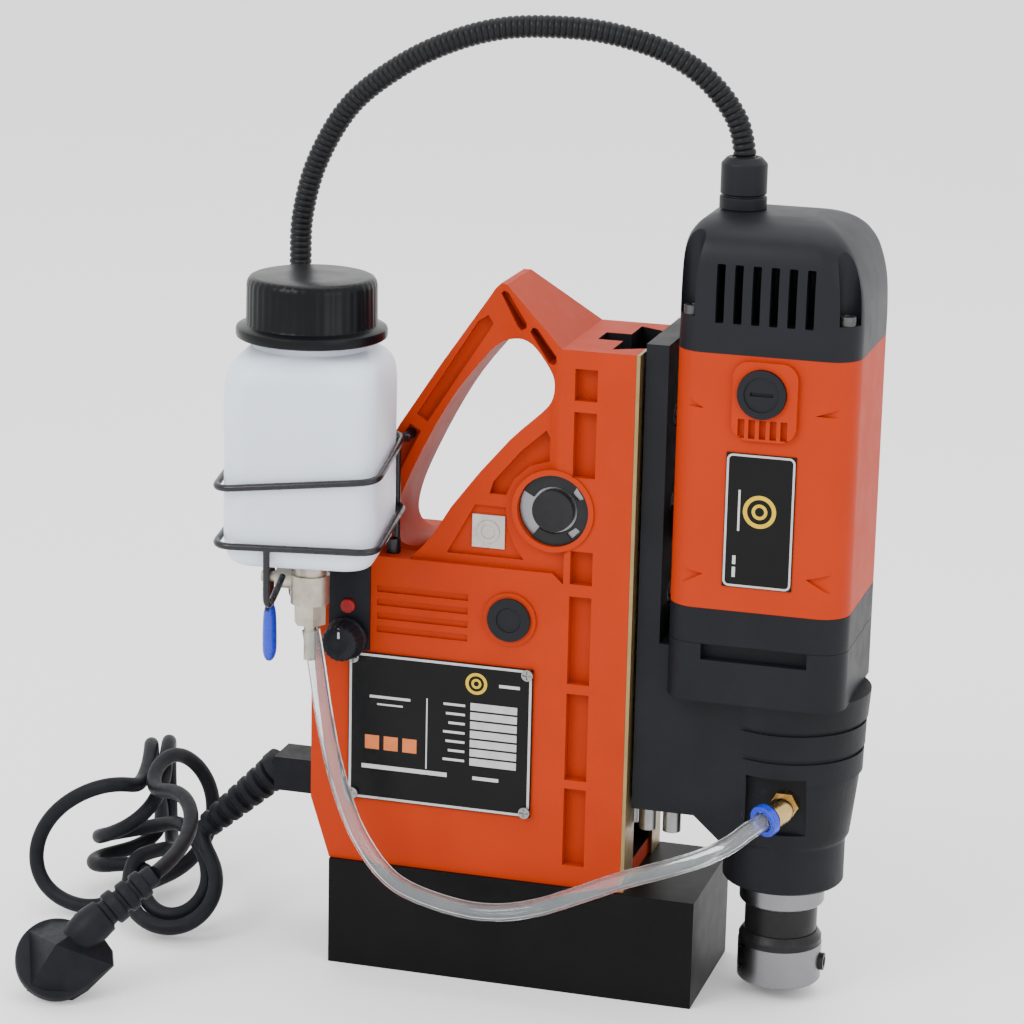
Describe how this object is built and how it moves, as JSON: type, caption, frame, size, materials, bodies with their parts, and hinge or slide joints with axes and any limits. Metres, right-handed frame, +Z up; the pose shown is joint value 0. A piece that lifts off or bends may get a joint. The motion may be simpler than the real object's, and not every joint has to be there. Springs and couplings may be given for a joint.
{
  "type": "magnetic drill press",
  "caption": "Portable drill press on an electromagnet base: stand with carrying handle, sliding motor and gearbox, side feed, coolant bottle, conduit and mains lead.",
  "frame": {"origin": "centre of the magnet's underside, on the surface it clamps to", "axes": "+X from the stand towards the drill, -Y the side with the nameplate and controls, +Z up along the feed"},
  "size_m": [0.3927, 0.2034, 0.4318],
  "materials": {
    "black_paint": "satin black paint",
    "copper_coil": "enamelled copper wire",
    "black_resin": "cast resin",
    "steel_fastener": "zinc plated",
    "orange_paint": "semi-gloss orange paint on a casting",
    "brass_strip": "machined",
    "plate_black": "printed black with a bare border",
    "black_plastic": "fine texture",
    "circuit_board": "resin board",
    "badge_metal": "satin",
    "turned_steel": "turned",
    "black_steel": "black oxide",
    "bottle_plastic": "translucent white",
    "black_wire": "coated wire",
    "valve_metal": "nickel plated",
    "clear_hose": "clear soft vinyl",
    "conduit_plastic": "corrugated",
    "black_rubber": "moulded",
    "black_cast": "powder coated casting",
    "orange_plastic": "glass filled",
    "stator_iron": "stacked sheets",
    "brass_fitting": "nickel tinted",
    "blue_plastic": "dipped vinyl",
    "red_plastic": "moulded",
    "cap_plastic": "moulded"
  },
  "bodies": {
    "stand": {"magnet_body": "black_paint", "magnet_coils": "copper_coil", "magnet_potting": "black_resin", "magnet_bolts": "steel_fastener", "main_housing": "orange_paint", "gib_strips": "brass_strip", "nameplate": "plate_black", "nameplate_screws": "steel_fastener", "control_panel": "black_plastic", "control_board": "circuit_board", "badge_plate": "badge_metal", "access_plug": "black_plastic", "pinion_bushes": "turned_steel", "pinion_circlip": "black_steel", "bottle": "bottle_plastic", "bottle_bracket": "black_wire", "bracket_clamps": "black_wire", "valve_body": "valve_metal", "coolant_hose": "clear_hose", "conduit_elbow": "black_plastic", "conduit": "conduit_plastic", "mains_gland": "black_rubber", "mains_cable": "black_rubber", "cable_bundle": "black_rubber", "plug_body": "black_rubber", "plug_pins": "turned_steel"},
    "feed": {"pinion_shaft": "black_steel", "capstan_hub": "black_plastic", "feed_arms": "turned_steel", "arm_knobs": "black_plastic"},
    "carriage": {"slide_bar": "turned_steel", "rack": "turned_steel", "carriage_plate": "black_cast", "carriage_screws": "steel_fastener", "gearbox_housing": "black_cast", "gearbox_cover": "black_cast", "motor_housing": "orange_plastic", "motor_cap": "black_plastic", "cap_screws": "steel_fastener", "stator_core": "stator_iron", "brush_bezels": "orange_plastic", "brush_caps": "black_plastic", "motor_label": "plate_black", "conduit_gland": "black_plastic", "nozzle_fitting": "brass_fitting", "push_fit_collar": "blue_plastic", "ball_bearings": "turned_steel"},
    "armature": {"armature_shaft": "turned_steel", "armature_core": "copper_coil"},
    "idler": {"intermediate_gear": "turned_steel"},
    "spindle": {"spindle_shaft": "black_steel", "spindle_collar": "turned_steel", "arbor": "turned_steel", "set_screws": "black_steel"},
    "ejector": {"ejector_pin": "turned_steel"},
    "lever": {"valve_lever": "black_steel", "lever_grip": "blue_plastic"},
    "knob": {"speed_knob": "black_plastic"},
    "button": {"magnet_button": "red_plastic"},
    "cap": {"bottle_cap": "cap_plastic"}
  },
  "joints": [
    {"name": "carriage_slide", "type": "slide", "parent": "stand", "child": "carriage", "axis": [0, 0, 1], "range_m": [0, 0.11], "deforming": ["conduit", "coolant_hose"]},
    {"name": "feed_turn", "type": "hinge", "parent": "stand", "child": "feed", "pos_m": [0.0157, 0, 0.2222], "axis": [0, -1, 0], "range_deg": [-3, 470]},
    {"name": "armature_spin", "type": "hinge", "parent": "carriage", "child": "armature", "pos_m": [0.1073, 0, 0.23], "axis": [0, 0, 1], "continuous": true},
    {"name": "idler_spin", "type": "hinge", "parent": "carriage", "child": "idler", "pos_m": [0.0853, 0, 0.14], "axis": [0, 0, 1], "continuous": true},
    {"name": "spindle_spin", "type": "hinge", "parent": "carriage", "child": "spindle", "pos_m": [0.1173, 0, 0.1], "axis": [0, 0, 1], "continuous": true},
    {"name": "ejector_slide", "type": "slide", "parent": "spindle", "child": "ejector", "axis": [0, 0, 1], "range_m": [0, 0.008], "stiffness_N_per_m": 400, "springref_m": -0.004},
    {"name": "valve_turn", "type": "hinge", "parent": "stand", "child": "lever", "pos_m": [-0.105, -0.061, 0.188], "axis": [-1, 0, 0], "range_deg": [0, 90]},
    {"name": "speed_turn", "type": "hinge", "parent": "stand", "child": "knob", "pos_m": [-0.077, -0.04, 0.156], "axis": [0, -1, 0], "range_deg": [-135, 135]},
    {"name": "magnet_push", "type": "slide", "parent": "stand", "child": "button", "axis": [0, 1, 0], "range_m": [0, 0.002], "stiffness_N_per_m": 500, "springref_m": -0.002},
    {"name": "cap_turn", "type": "hinge", "parent": "stand", "child": "cap", "pos_m": [-0.086, -0.061, 0.3], "axis": [0, 0, 1], "range_deg": [0, 540]}
  ],
  "couplings": [
    {"joint": "feed_turn", "follows": "carriage_slide", "rad_per_m": 74.074},
    {"joint": "idler_spin", "follows": "armature_spin", "ratio": -0.375},
    {"joint": "spindle_spin", "follows": "armature_spin", "ratio": 0.105}
  ]
}
